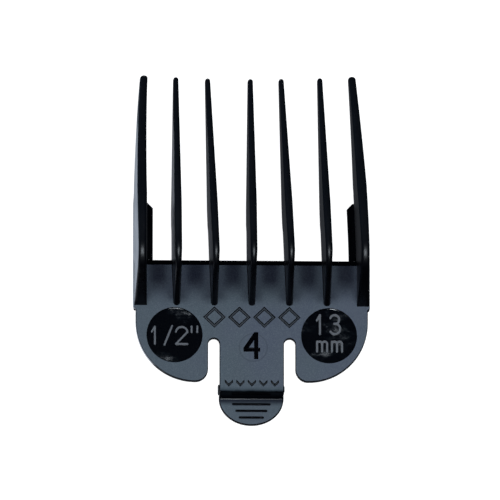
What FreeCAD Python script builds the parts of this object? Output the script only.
"""Clipper guard comb, number 4 (half inch, 13 mm), for a full-size hair clipper.

The comb lies blade side down. Its frame has the origin on the blade seat, the underside of
the deck, +X to the right, +Y towards the tooth tips and +Z out of the skin side. The real comb
is one nylon moulding. It is divided here where its features begin and end, and the release tab
turns on a round knuckle that stands for its flexing root.
"""
import FreeCAD, Part
import math
import os
import Sketcher
from FreeCAD import Vector

# Driving dimensions in millimetres and degrees: alias, value, meaning.
SIZES = [
    ("wall_half_width", 24.6, "half the width over the side walls"),
    ("wall_proud", 0.4, "how far a side wall stands out from the deck behind it"),
    ("deck_thick", 1.8, "thickness of the deck and of the release tab"),
    ("seat_reach", 8.2, "from the origin forward to the deck's front edge"),
    ("front_bevel", 1.2, "bevel along the deck's front edge"),
    ("wing_line", 5.1, "from the origin back to where the wings begin to round"),
    ("wing_corner", 2.65, "rounding between a wing's end and the slot"),
    ("tab_half_width", 6.7, "half the width of the release tab"),
    ("slot_width", 2.4, "width of the slot beside the release tab"),
    ("slot_end", 8.45, "from the origin back to the closed end of a slot"),
    ("disc_inset", 8.1, "from the deck's side edge to the centre of a size disc"),
    ("disc_back", 7.8, "from the origin back to the centre of a size disc"),
    ("disc_radius", 5.7, "radius of a size disc"),
    ("disc_sink", 0.45, "depth of a size disc below the deck"),
    ("wall_rear", 2.4, "from the origin back to the rear end of the side walls"),
    ("wall_front", 22.6, "from the origin forward to the front end of the side walls"),
    ("rail_thick", 1.4, "thickness of a side rail"),
    ("rail_slant", 1.5, "slant of the front end of a side rail"),
    ("blade_space", 3.0, "height between the seat and the blade ledges"),
    ("ledge_thick", 1.6, "thickness of a blade ledge, down to the rail's lower edge"),
    ("ledge_reach", 3.0, "how far a blade ledge stands in from its rail"),
    ("ledge_corner", 1.2, "chamfer on the front corner of a blade ledge"),
    ("ledge_gap", 0.5, "gap between the deck's front edge and a blade ledge"),
    ("tooth_inset", 1.11, "from the outside of a side wall to the outer tooth's pitch line"),
    ("tooth_reach", 47.3, "from the origin forward to the tips of the outer teeth"),
    ("tip_bow", 0.65, "how much shorter the middle tooth is than the outer teeth"),
    ("foot_back", 1.65, "from the origin back to the foot of the teeth"),
    ("foot_width", 1.3, "width of an inner tooth at its foot"),
    ("root_width", 2.15, "width of an inner tooth at the deck's front edge"),
    ("tip_width", 1.15, "width of an inner tooth at its tip"),
    ("outer_root_width", 2.8, "width of an outer tooth over the side wall"),
    ("outer_tip_width", 1.6, "width of an outer tooth at its tip"),
    ("crest_forward", 6.35, "from the origin forward to the crest before rounding"),
    ("crest_height", 14.86, "height of the crest above the seat before rounding"),
    ("crest_radius", 5.0, "rounding of the crest"),
    ("tip_top", 1.9, "height of the upper edge above the seat where the tip's bevel begins"),
    ("tip_bevel", 0.6, "bevel on the upper end of a tip"),
    ("tip_under", -0.2, "height of the lower edge at the tip above the seat"),
    ("blade_edge", 14.0, "from the origin forward to the clipper's cutting edge"),
    ("belly_depth", 1.0, "how far a tooth drops below the seat past the cutting edge"),
    ("belly_run", 2.0, "length of the slope down to that lower edge"),
    ("inner_draft", 1.4, "draft of the inner teeth, in degrees"),
    ("outer_draft", 2.3, "draft of the outer teeth, in degrees"),
    ("lean_tooth_1", 0.7, "sideways set of each tooth at its tip, from left to right"),
    ("lean_tooth_2", -0.2, ""),
    ("lean_tooth_3", -1.4, ""),
    ("lean_tooth_4", -0.3, ""),
    ("lean_tooth_5", -1.7, ""),
    ("lean_tooth_6", -1.45, ""),
    ("lean_tooth_7", -2.3, ""),
    ("flex_length", 5.05, "from a slot's closed end back to the line where the tab flexes"),
    ("knuckle_gap", 0.05, "running clearance around the tab's knuckle"),
    ("tab_length", 11.05, "from a slot's closed end back to the step"),
    ("step_slope", 1.1, "how far the step leans back on its way down"),
    ("step_drop", 3.0, "drop from the top of the tab to the top of the thumb pad"),
    ("pad_thick", 1.6, "thickness of the thumb pad"),
    ("pad_overhang", 0.05, "how far the thumb pad stands out beside the tab"),
    ("pad_reach", 5.65, "length of the thumb pad behind the step"),
    ("hook_overhang", 0.2, "how far the catch hook stands out beside the tab"),
    ("hook_thick", 1.3, "thickness of the catch hook's wall"),
    ("hook_toe", 0.8, "how far the catch hook's toe reaches under the blade"),
    ("toe_thick", 1.5, "thickness of the catch hook's toe"),
    ("mark_stroke", 0.46, "stroke width of the raised size marks"),
    ("mark_height", 0.35, "height of the raised marks"),
    ("engraving", 0.2, "depth of the engraved marks"),
    ("engraved_stroke", 0.5, "stroke width of the engraved marks"),
    ("lozenge_pitch", 5.2, "distance between the engraved lozenges"),
    ("lozenge_half_width", 2.3, "half the width of an engraved lozenge"),
    ("lozenge_half_height", 2.2, "half the height of an engraved lozenge"),
    ("lozenge_back", 4.0, "from the origin back to the row of lozenges"),
    ("number_ahead", 0.7, "from the flex line forward to the engraved number"),
    ("number_width", 3.4, "width of the engraved number"),
    ("number_tall", 5.6, "height of the engraved number"),
    ("arrow_pitch", 2.4, "distance between the engraved arrows"),
    ("arrow_half_width", 0.8, "half the width of an engraved arrow"),
    ("arrow_drop", 0.8, "slope of an engraved arrow"),
    ("arrow_ahead", 2.2, "from the step forward to the row of arrows"),
    ("grip_length", 7.6, "length of the longest grip bar"),
    ("grip_pitch", 1.4, "distance between the grip bars"),
    ("grip_inset", 1.3, "from the foot of the step back to the first grip bar"),
]

INNER_TEETH = range(2, 7)
MIDDLE_TOOTH = 4
LOZENGES = 4
ARROWS = 5
GRIP_BARS = 3
CLEAR = 2.0  # how far a cutting outline runs past the solid that it cuts
DIAGONAL = 1.4  # a slanted stroke's width along the axes, over its true width
NEAR = 0.01  # how far an edge may lie from the place where it is looked for

# Proportions of the engraved 4.
FOUR_BAR = 0.28  # height of its crossbar, over its whole height
FOUR_STEM = 0.3  # from its middle right to its upright, over half its width
FOUR_INSET = 1.5  # from its left corner in to the triangle's, over the stroke

# Glyph strokes in a box one wide and one high. Two points are a line, three are an arc.
GLYPHS = {
    "1": [[(0.1, 0.72), (0.5, 1.0)], [(0.5, 1.0), (0.5, 0.0)]],
    "2": [[(0.0, 0.72), (0.5, 1.0), (1.0, 0.7)], [(1.0, 0.7), (0.0, 0.0)], [(0.0, 0.0), (1.0, 0.0)]],
    "3": [
        [(0.0, 0.85), (0.5, 1.0), (0.9, 0.77)],
        [(0.9, 0.77), (0.8, 0.61), (0.4, 0.55)],
        [(0.4, 0.55), (0.86, 0.46), (1.0, 0.26)],
        [(1.0, 0.26), (0.5, 0.0), (0.0, 0.13)],
    ],
    "/": [[(0.0, 0.0), (1.0, 1.0)]],
    "'": [[(0.5, 0.0), (0.5, 1.0)]],
    "m": [
        [(0.0, 0.0), (0.0, 1.0)],
        [(0.0, 0.7), (0.25, 1.0), (0.5, 0.7)],
        [(0.5, 0.7), (0.5, 0.0)],
        [(0.5, 0.7), (0.75, 1.0), (1.0, 0.7)],
        [(1.0, 0.7), (1.0, 0.0)],
    ],
}

# Size marks on a disc: glyph, left, bottom, width and height from the disc's centre.
INCH_MARK = [
    ("1", -4.9, -1.9, 1.6, 3.6),
    ("/", -2.1, -2.1, 1.6, 4.0),
    ("2", 0.3, -1.9, 2.4, 3.6),
    ("'", 3.3, 0.6, 0.5, 1.2),
    ("'", 4.5, 0.6, 0.5, 1.2),
]
METRIC_MARK = [
    ("1", -2.7, 0.4, 1.6, 4.0),
    ("3", 0.3, 0.4, 2.0, 4.0),
    ("m", -2.5, -3.3, 2.1, 2.1),
    ("m", 0.6, -3.3, 2.1, 2.1),
]

doc = FreeCAD.newDocument("clipper_guard_comb")
sheet = doc.addObject("Spreadsheet::Sheet", "Sizes")
subparts = []


class Size:
    """A number that keeps the sheet expression that it comes from."""

    def __init__(self, number, text):
        self.number = number
        self.text = text

    def __add__(self, other):
        other = as_size(other)
        return Size(self.number + other.number, f"({self.text} + {other.text})")

    def __sub__(self, other):
        other = as_size(other)
        return Size(self.number - other.number, f"({self.text} - {other.text})")

    def __mul__(self, other):
        other = as_size(other)
        return Size(self.number * other.number, f"({self.text} * {other.text})")

    def __truediv__(self, other):
        other = as_size(other)
        return Size(self.number / other.number, f"({self.text} / {other.text})")

    def __neg__(self):
        return Size(-self.number, f"(-1 * {self.text})")

    def __rmul__(self, other):
        return as_size(other) * self

    def __radd__(self, other):
        return as_size(other) + self


def as_size(value):
    """Wrap a plain number, so that it can join an expression."""
    return value if isinstance(value, Size) else Size(value, f"({value})")


def fill_sheet():
    """Write the driving dimensions into the sheet, one row each."""
    for row, (alias, value, meaning) in enumerate(SIZES, start=1):
        sheet.set(f"A{row}", alias)
        sheet.set(f"B{row}", str(value))
        sheet.set(f"C{row}", meaning)
        sheet.setAlias(f"B{row}", alias)
    doc.recompute()


def size(alias):
    """A driving dimension from the sheet."""
    return Size(float(sheet.get(alias)), f"Sizes.{alias}")


def deck_half_width():
    """Half the width of the deck behind the side walls."""
    return size("wall_half_width") - size("wall_proud")


def slot_side():
    """From the middle to the outer side of a slot."""
    return size("tab_half_width") + size("slot_width")


def disc_across():
    """From the middle to the centre of a size disc."""
    return deck_half_width() - size("disc_inset")


def disc_floor():
    """Height of a size disc's sunken face."""
    return size("deck_thick") - size("disc_sink")


def tooth_pitch():
    """Distance between teeth at the deck, with the seven pitch lines evenly spaced."""
    return (size("wall_half_width") - size("tooth_inset")) / (MIDDLE_TOOTH - 1)


def rail_depth():
    """Depth of the side rails below the seat."""
    return size("blade_space") + size("ledge_thick")


def flex_line():
    """Place of the line about which the tab flexes."""
    return -(size("slot_end") + size("flex_length"))


def tab_end():
    """Place of the step at the end of the tab."""
    return -(size("slot_end") + size("tab_length"))


def pad_front():
    """Place of the foot of the step, where the thumb pad begins."""
    return tab_end() - size("step_slope")


def pad_top():
    """Height of the thumb pad's upper face."""
    return size("deck_thick") - size("step_drop")


def new_body(label):
    """Start a sub-part that is made with PartDesign features."""
    body = doc.addObject("PartDesign::Body", label)
    body.Label = label
    subparts.append(body)
    return body


def new_sketch(body, role, height=None):
    """Attach a sketch to one of the body's own origin planes."""
    plane = next(item for item in body.Origin.OriginFeatures if item.Role == role)
    sketch = body.newObject("Sketcher::SketchObject", f"{body.Name}_sketch")
    sketch.AttachmentSupport = [(plane, "")]
    sketch.MapMode = "FlatFace"
    if height is not None:
        sketch.setExpression("AttachmentOffset.Base.z", height.text)
    return sketch


def constrain(sketch, kind, places, value):
    """Add one dimension to a sketch and bind it to the sheet."""
    index = sketch.addConstraint(Sketcher.Constraint(kind, *places, value.number))
    sketch.setExpression(f"Constraints[{index}]", value.text)


def arc_between(start, end, radius):
    """The short arc from start to end, counter-clockwise for a positive radius."""
    chord = end - start
    left = Vector(-chord.y, chord.x, 0).normalize() * math.copysign(1, radius)
    centre = (start + end) * 0.5 + left * math.sqrt(max(radius**2 - chord.Length**2 / 4, 0))
    angles = [math.atan2(point.y - centre.y, point.x - centre.x) for point in (start, end)]
    if radius < 0:
        angles.reverse()
    return Part.ArcOfCircle(Part.Circle(centre, Vector(0, 0, 1), abs(radius)), *angles)


def add_outline(sketch, corners):
    """Draw a closed outline and fix each corner.

    A corner is (x, y), or (x, y, radius) where an arc runs on to the next corner,
    counter-clockwise for a positive radius and clockwise for a negative one.
    """
    corners = [tuple(as_size(value) for value in corner) for corner in corners]
    points = [Vector(corner[0].number, corner[1].number, 0) for corner in corners]
    ends = []
    for index, corner in enumerate(corners):
        start = points[index]
        end = points[(index + 1) % len(points)]
        if len(corner) == 2:
            edge = sketch.addGeometry(Part.LineSegment(start, end))
            ends.append((edge, 1, 2))
            continue
        edge = sketch.addGeometry(arc_between(start, end, corner[2].number))
        clockwise = corner[2].number < 0
        ends.append((edge, 2, 1) if clockwise else (edge, 1, 2))
        radius = -corner[2] if clockwise else corner[2]
        constrain(sketch, "Radius", (edge,), radius)
    for index, (edge, first, last) in enumerate(ends):
        before = ends[index - 1]
        sketch.addConstraint(Sketcher.Constraint("Coincident", before[0], before[2], edge, first))
        constrain(sketch, "DistanceX", (-1, 1, edge, first), corners[index][0])
        constrain(sketch, "DistanceY", (-1, 1, edge, first), corners[index][1])


def add_circle(sketch, x, y, radius):
    """Draw a circle and fix its centre and radius."""
    x, y = as_size(x), as_size(y)
    centre = Vector(x.number, y.number, 0)
    edge = sketch.addGeometry(Part.Circle(centre, Vector(0, 0, 1), radius.number))
    constrain(sketch, "DistanceX", (-1, 1, edge, 3), x)
    constrain(sketch, "DistanceY", (-1, 1, edge, 3), y)
    constrain(sketch, "Radius", (edge,), radius)


def extrude(sketch, kind, length, both_ways=False, draft=None):
    """Pad or pocket a sketch, and make it the body's tip."""
    body = sketch.getParentGeoFeatureGroup()
    feature = body.newObject(f"PartDesign::{kind}", f"{body.Name}_{kind.lower()}")
    feature.Profile = sketch
    feature.SideType = "Symmetric" if both_ways else "One side"
    feature.setExpression("Length", length.text)
    if draft is not None:
        feature.setExpression("TaperAngle", (-draft).text)
    body.Tip = feature
    return feature


def round_crossways(feature, forward, height, radius):
    """Round the edges that run across X at one place in the side view."""
    doc.recompute()
    names = []
    for index, edge in enumerate(feature.Shape.Edges, start=1):
        offsets = [
            math.hypot(vertex.Y - forward.number, vertex.Z - height.number)
            for vertex in edge.Vertexes
        ]
        if max(offsets) < NEAR:
            names.append(f"Edge{index}")
    body = feature.getParentGeoFeatureGroup()
    fillet = body.newObject("PartDesign::Fillet", f"{body.Name}_fillet")
    fillet.Base = (feature, names)
    fillet.setExpression("Radius", radius.text)
    body.Tip = fillet


def side_cut(body, corners, width):
    """Cut a body right across with an outline drawn in its side view."""
    sketch = new_sketch(body, "YZ_Plane")
    add_outline(sketch, corners)
    return extrude(sketch, "Pocket", width, both_ways=True)


def side_solid(label, corners, width):
    """A sub-part with one side-view outline, as wide on the left as on the right."""
    body = new_body(label)
    sketch = new_sketch(body, "YZ_Plane")
    add_outline(sketch, corners)
    extrude(sketch, "Pad", width, both_ways=True)
    return body


def make_deck():
    """The deck: two wings, the root of the release tab and two holes for the size discs."""
    half = deck_half_width()
    front = size("seat_reach")
    rail = size("wall_half_width") - size("rail_thick")
    wall_rear = -size("wall_rear")
    corner = size("wing_corner")
    tab_side = size("tab_half_width")
    slot_round = size("slot_width") / 2
    slot_middle = tab_side + slot_round
    slot_end = -size("slot_end")
    wing_centre = slot_side() + corner
    radius = half - wing_centre
    wing_top = -size("wing_line")
    wing_end = wing_top - radius
    flex = flex_line()
    thick = size("deck_thick")

    right = [
        (rail, front),
        (rail, wall_rear),
        (half, wall_rear),
        (half, wing_top, -radius),
        (wing_centre, wing_end, -corner),
        (slot_side(), wing_end + corner),
        (slot_side(), slot_end - slot_round, slot_round),
        (slot_middle, slot_end, slot_round),
        (tab_side, slot_end - slot_round),
        (tab_side, flex),
    ]
    left = [
        (-tab_side, flex),
        (-tab_side, slot_end - slot_round, slot_round),
        (-slot_middle, slot_end, slot_round),
        (-slot_side(), slot_end - slot_round),
        (-slot_side(), wing_end + corner, -corner),
        (-wing_centre, wing_end, -radius),
        (-half, wing_top),
        (-half, wall_rear),
        (-rail, wall_rear),
        (-rail, front),
    ]
    body = new_body("deck_plate")
    plan = new_sketch(body, "XY_Plane")
    add_outline(plan, right + left)
    for side in (-1, 1):
        add_circle(plan, side * disc_across(), -size("disc_back"), size("disc_radius"))
    extrude(plan, "Pad", thick)

    bevel = size("front_bevel")
    corners = [
        (front - bevel, thick),
        (front, thick - bevel),
        (front + CLEAR, thick - bevel),
        (front + CLEAR, thick + CLEAR),
        (front - bevel, thick + CLEAR),
    ]
    side_cut(body, corners, 2 * rail + CLEAR)

    seat = new_sketch(body, "YZ_Plane")
    add_circle(seat, flex, thick / 2, thick / 2 + size("knuckle_gap"))
    extrude(seat, "Pocket", 2 * tab_side + slot_round, both_ways=True)
    engrave_deck(body)


def engrave_deck(body):
    """Engrave the row of lozenges and the guard number."""
    top = size("deck_thick")
    stroke = size("engraved_stroke")
    marks = new_sketch(body, "XY_Plane", top)
    wide = size("lozenge_half_width")
    tall = size("lozenge_half_height")
    for index in range(LOZENGES):
        middle = (index - (LOZENGES - 1) / 2) * size("lozenge_pitch")
        for inset in (0 * stroke, stroke):
            across = wide - inset * DIAGONAL
            along = tall - inset * DIAGONAL
            row = -size("lozenge_back")
            diamond = [(middle - across, row), (middle, row - along), (middle + across, row),
                       (middle, row + along)]
            add_outline(marks, diamond)
    extrude(marks, "Pocket", size("engraving"))

    number = new_sketch(body, "XY_Plane", top)
    add_four(number, stroke)
    extrude(number, "Pocket", size("engraving"))


def add_four(sketch, stroke):
    """Draw the outline of a 4 and of the triangle inside it."""
    half = size("number_width") / 2
    tall = size("number_tall")
    bottom = flex_line() + size("number_ahead")
    bar = bottom + tall * FOUR_BAR
    upright = half * FOUR_STEM
    outer = [
        (upright, bottom),
        (upright + stroke, bottom),
        (upright + stroke, bar),
        (half, bar),
        (half, bar + stroke),
        (upright + stroke, bar + stroke),
        (upright + stroke, bottom + tall),
        (upright, bottom + tall),
        (-half, bar + stroke),
        (-half, bar),
        (upright, bar),
    ]
    add_outline(sketch, outer)
    slope = (tall * (1 - FOUR_BAR) - stroke).number / (upright + half).number
    inset = stroke * FOUR_INSET
    inner = [
        (-half + inset, bar + stroke),
        (upright, bar + stroke),
        (upright, bar + stroke + (upright + half - inset) * slope),
    ]
    add_outline(sketch, inner)


def shape_tooth(body, reach, belly_start, width):
    """Cut a tooth's side view: the crest above it, and the deck and the blade below it."""
    deck = size("deck_thick")
    front = size("seat_reach")
    bevel = size("front_bevel")
    foot = -size("foot_back")
    belly = -size("belly_depth")
    crest = (size("crest_forward"), size("crest_height"))
    tip_top = size("tip_top")
    tip_bevel = size("tip_bevel")
    above = [
        (foot - CLEAR, deck),
        (foot, deck),
        crest,
        (reach - tip_bevel, tip_top),
        (reach, tip_top - tip_bevel),
        (reach + CLEAR, tip_top - tip_bevel),
        (reach + CLEAR, size("crest_height") + CLEAR),
        (foot - CLEAR, size("crest_height") + CLEAR),
    ]
    side_cut(body, above, width)
    below = [
        (foot - CLEAR, deck),
        (front - bevel, deck),
        (front, deck - bevel),
        (front, 0),
        (belly_start, 0),
        (belly_start + size("belly_run"), belly),
        (reach, size("tip_under")),
        (reach + CLEAR, size("tip_under")),
        (reach + CLEAR, belly - CLEAR),
        (foot - CLEAR, belly - CLEAR),
    ]
    cut = side_cut(body, below, width)
    round_crossways(cut, *crest, size("crest_radius"))


def make_inner_tooth(number):
    """One of the five inner teeth: a rib on the deck that runs on as a free tooth."""
    place = number - MIDDLE_TOOTH
    share = (place / (MIDDLE_TOOTH - 1)) ** 2
    reach = size("tooth_reach") - size("tip_bow") * (1 - share)
    lean = size(f"lean_tooth_{number}")
    foot = size("foot_width") / 2
    root = size("root_width") / 2
    tip = size("tip_width") / 2
    front = size("seat_reach")
    rear = -size("foot_back")
    body = new_body(f"tooth_{number}")
    plan = new_sketch(body, "XY_Plane", -size("belly_depth"))
    outline = [
        (-foot, rear + foot, foot),
        (0, rear, foot),
        (foot, rear + foot),
        (root, front),
        (lean + tip, reach),
        (lean - tip, reach),
        (-root, front),
    ]
    add_outline(plan, outline)
    tall = size("crest_height") + size("belly_depth") + CLEAR
    extrude(plan, "Pad", tall, draft=size("inner_draft"))
    shape_tooth(body, reach, size("blade_edge"), 2 * tooth_pitch())
    body.setExpression("Placement.Base.x", (place * tooth_pitch()).text)


def make_outer_tooth(number, side):
    """An outer tooth, which rises from the side wall."""
    reach = size("tooth_reach")
    lean = size(f"lean_tooth_{number}")
    root = size("outer_root_width")
    tip = size("outer_tip_width") / 2
    bend = size("wall_front")
    rear = -size("foot_back")
    middle = -side * root / 2 + lean
    body = new_body("outer_tooth_left" if side < 0 else "outer_tooth_right")
    plan = new_sketch(body, "XY_Plane", -size("belly_depth"))
    outline = [
        (0, rear),
        (0, bend),
        (middle + side * tip, reach),
        (middle - side * tip, reach),
        (-side * root, bend),
        (-side * root, rear),
    ]
    add_outline(plan, outline)
    tall = size("crest_height") + size("belly_depth") + CLEAR
    extrude(plan, "Pad", tall, draft=size("outer_draft"))
    shape_tooth(body, reach, bend, 2 * tooth_pitch())
    body.setExpression("Placement.Base.x", (side * size("wall_half_width")).text)


def make_side_rail(side):
    """A side rail: the lower part of a side wall, from the deck's top down beside the blade."""
    deck = size("deck_thick")
    bevel = size("front_bevel")
    deck_front = size("seat_reach")
    rear = -size("wall_rear")
    front = size("wall_front")
    slant = size("rail_slant")
    corners = [
        (rear, deck),
        (rear, 0),
        (rear + slant, -rail_depth()),
        (front - slant, -rail_depth()),
        (front, 0),
        (deck_front, 0),
        (deck_front, deck - bevel),
        (deck_front - bevel, deck),
    ]
    body = side_solid("side_rail_left" if side < 0 else "side_rail_right", corners,
                      size("rail_thick"))
    middle = size("wall_half_width") - size("rail_thick") / 2
    body.setExpression("Placement.Base.x", (side * middle).text)


def make_blade_ledge(side):
    """A ledge under a corner of the blade, ahead of the deck."""
    inner = size("ledge_reach")
    chamfer = size("ledge_corner")
    front = size("wall_front") - size("rail_slant")
    rear = size("seat_reach") + size("ledge_gap")
    body = new_body("blade_ledge_left" if side < 0 else "blade_ledge_right")
    plan = new_sketch(body, "XY_Plane", -rail_depth())
    outline = [
        (0, rear),
        (0, front),
        (-side * (inner - chamfer), front),
        (-side * inner, front - chamfer),
        (-side * inner, rear),
    ]
    add_outline(plan, outline)
    extrude(plan, "Pad", size("ledge_thick"))
    wall = size("wall_half_width") - size("rail_thick")
    body.setExpression("Placement.Base.x", (side * wall).text)


def make_size_disc(side):
    """The sunken polished disc that carries a size mark."""
    label = "size_disc_left" if side < 0 else "size_disc_right"
    disc = doc.addObject("Part::Cylinder", label)
    disc.Label = label
    disc.setExpression("Radius", size("disc_radius").text)
    disc.setExpression("Height", disc_floor().text)
    disc.setExpression("Placement.Base.x", (side * disc_across()).text)
    disc.setExpression("Placement.Base.y", (-size("disc_back")).text)
    subparts.append(disc)


def line_stroke(start, end, radius):
    """The face of a straight stroke with round ends."""
    along = (end - start).normalize() * radius
    left = Vector(-along.y, along.x, 0)
    edges = [
        Part.LineSegment(start - left, end - left),
        Part.Arc(end - left, end + along, end + left),
        Part.LineSegment(end + left, start + left),
        Part.Arc(start + left, start - along, start - left),
    ]
    return Part.Face(Part.Wire([edge.toShape() for edge in edges]))


def arc_stroke(points, radius):
    """The face of a curved stroke with round ends."""
    start, _, end = points
    centre = Part.Arc(*points).toShape().Curve.Center
    outward = [(point - centre).normalize() * radius for point in points]
    outer = [point + step for point, step in zip(points, outward)]
    inner = [point - step for point, step in zip(points, outward)]
    turn = math.copysign(1, (points[1] - start).cross(end - points[1]).z)
    ahead = Vector(-outward[2].y, outward[2].x, 0) * turn
    behind = Vector(outward[0].y, -outward[0].x, 0) * turn
    edges = [
        Part.Arc(*outer),
        Part.Arc(outer[2], end + ahead, inner[2]),
        Part.Arc(*reversed(inner)),
        Part.Arc(inner[0], start + behind, outer[0]),
    ]
    return Part.Face(Part.Wire([edge.toShape() for edge in edges]))


def stroke_solid(strokes, width, height):
    """One solid from strokes, each a line of two points or an arc of three."""
    solids = []
    for stroke in strokes:
        points = [Vector(*point, 0) for point in stroke]
        face = line_stroke(*points, width / 2) if len(points) == 2 else arc_stroke(points, width / 2)
        solids.append(face.extrude(Vector(0, 0, height)))
    solid = solids[0].multiFuse(solids[1:]) if len(solids) > 1 else solids[0]
    joined = solid.removeSplitter().Solids
    if len(joined) != 1:
        raise RuntimeError("the strokes of a mark don't join")
    return joined[0]


def add_raised_marks(label, shapes, place):
    """Keep a group of raised marks as one sub-part, placed by its own Placement."""
    marks = doc.addObject("Part::Feature", label)
    marks.Label = label
    marks.Shape = Part.makeCompound(shapes)
    for axis, distance in zip("xyz", place):
        marks.setExpression(f"Placement.Base.{axis}", as_size(distance).text)
    subparts.append(marks)


def make_size_mark(label, side, layout):
    """The raised size mark on a disc, one solid for each character."""
    shapes = []
    for glyph, left, bottom, wide, tall in layout:
        strokes = [
            [(left + x * wide, bottom + y * tall) for x, y in stroke] for stroke in GLYPHS[glyph]
        ]
        shapes.append(stroke_solid(strokes, size("mark_stroke").number, size("mark_height").number))
    add_raised_marks(label, shapes, (side * disc_across(), -size("disc_back"), disc_floor()))


def make_tab_plate():
    """The release tab, from its knuckle to the step, with the row of engraved arrows."""
    thick = size("deck_thick")
    end = tab_end()
    flex = flex_line()
    round_end = thick / 2
    corners = [
        (end, 0),
        (flex, 0, round_end),
        (flex + round_end, round_end, round_end),
        (flex, thick),
        (end, thick),
    ]
    body = side_solid("tab_plate", corners, 2 * size("tab_half_width"))
    sketch = new_sketch(body, "XY_Plane", thick)
    half = size("arrow_half_width")
    drop = size("arrow_drop")
    stroke = size("engraved_stroke")
    row = end + size("arrow_ahead")
    for index in range(ARROWS):
        middle = (index - (ARROWS - 1) / 2) * size("arrow_pitch")
        arrow = [
            (middle - half, row),
            (middle - half, row - stroke),
            (middle, row - stroke - drop),
            (middle + half, row - stroke),
            (middle + half, row),
            (middle, row - drop),
        ]
        add_outline(sketch, arrow)
    extrude(sketch, "Pocket", size("engraving"))


def make_tab_step():
    """The step that joins the tab to the lower thumb pad."""
    end = tab_end()
    under = pad_top() - size("pad_thick")
    corners = [(end, size("deck_thick")), (pad_front(), pad_top()), (pad_front(), under), (end, under)]
    side_solid("tab_step", corners, 2 * size("tab_half_width"))


def make_catch_hook():
    """The hook that drops behind the blade and reaches under its rear edge."""
    rear = tab_end()
    face = rear + size("hook_thick")
    toe = face + size("hook_toe")
    toe_top = -size("blade_space")
    depth = toe_top - size("toe_thick")
    corners = [(rear, 0), (rear, depth), (toe, depth), (toe, toe_top), (face, toe_top), (face, 0)]
    half = size("tab_half_width") + size("hook_overhang")
    side_solid("catch_hook", corners, 2 * half)


def make_thumb_pad():
    """The thumb pad: half of an elliptical plate behind the step."""
    half = size("tab_half_width") + size("pad_overhang")
    reach = size("pad_reach")
    outline = doc.addObject("Part::Ellipse", "pad_outline")
    outline.setExpression("MajorRadius", f"max({half.text}; {reach.text})")
    outline.setExpression("MinorRadius", f"min({half.text}; {reach.text})")
    outline.setExpression("Placement.Rotation.Angle", f"{reach.text} > {half.text} ? 90 : 0")
    plate = doc.addObject("Part::Extrusion", "pad_plate")
    plate.Base = outline
    plate.DirMode = "Custom"
    plate.Dir = Vector(0, 0, 1)
    plate.Solid = True
    plate.setExpression("LengthFwd", size("pad_thick").text)
    block = doc.addObject("Part::Box", "pad_half")
    block.setExpression("Length", (2 * half).text)
    block.setExpression("Width", reach.text)
    block.setExpression("Height", size("pad_thick").text)
    block.setExpression("Placement.Base.x", (-half).text)
    block.setExpression("Placement.Base.y", (-reach).text)
    pad = doc.addObject("Part::Common", "thumb_pad")
    pad.Label = "thumb_pad"
    pad.Base = plate
    pad.Tool = block
    pad.setExpression("Placement.Base.y", pad_front().text)
    pad.setExpression("Placement.Base.z", (pad_top() - size("pad_thick")).text)
    subparts.append(pad)


def make_grip_bars():
    """Raised bars on the thumb pad, each shorter than the one before."""
    longest = size("grip_length").number
    pitch = size("grip_pitch").number
    shapes = []
    for index in range(GRIP_BARS):
        half = (longest - index * pitch) / 2
        stroke = [(-half, -index * pitch), (half, -index * pitch)]
        shapes.append(stroke_solid([stroke], size("mark_stroke").number, size("mark_height").number))
    add_raised_marks("grip_bars", shapes, (0, pad_front() - size("grip_inset"), pad_top()))


def check_model():
    """Stop if a feature failed, a pocket cut nothing or a sub-part isn't a sound solid."""
    for item in doc.Objects:
        if "Invalid" in item.State or "Error" in item.State:
            raise RuntimeError(f"{item.Label} failed: {item.State}")
        if item.TypeId == "PartDesign::Pocket":
            if item.Shape.Volume > item.BaseFeature.Shape.Volume - 1e-4:
                raise RuntimeError(f"{item.Label} cuts nothing")
    for part in subparts:
        if part.Shape.isNull() or not part.Shape.isValid() or not part.Shape.Solids:
            raise RuntimeError(f"{part.Label} has no sound solid")


def write_parts():
    """Write each sub-part to its own STEP file."""
    os.makedirs("parts", exist_ok=True)
    for part in subparts:
        part.Shape.exportStep(os.path.join("parts", f"{part.Label}.step"))
        print(f"{part.Label}: {len(part.Shape.Solids)} solid(s), {part.Shape.Volume:.1f} mm3")


fill_sheet()
make_deck()
for tooth in INNER_TEETH:
    make_inner_tooth(tooth)
for tooth, direction in ((1, -1), (7, 1)):
    make_outer_tooth(tooth, direction)
    make_side_rail(direction)
    make_blade_ledge(direction)
    make_size_disc(direction)
make_size_mark("size_mark_inch", -1, INCH_MARK)
make_size_mark("size_mark_metric", 1, METRIC_MARK)
make_tab_plate()
make_tab_step()
make_catch_hook()
make_thumb_pad()
make_grip_bars()
doc.recompute()
check_model()
write_parts()
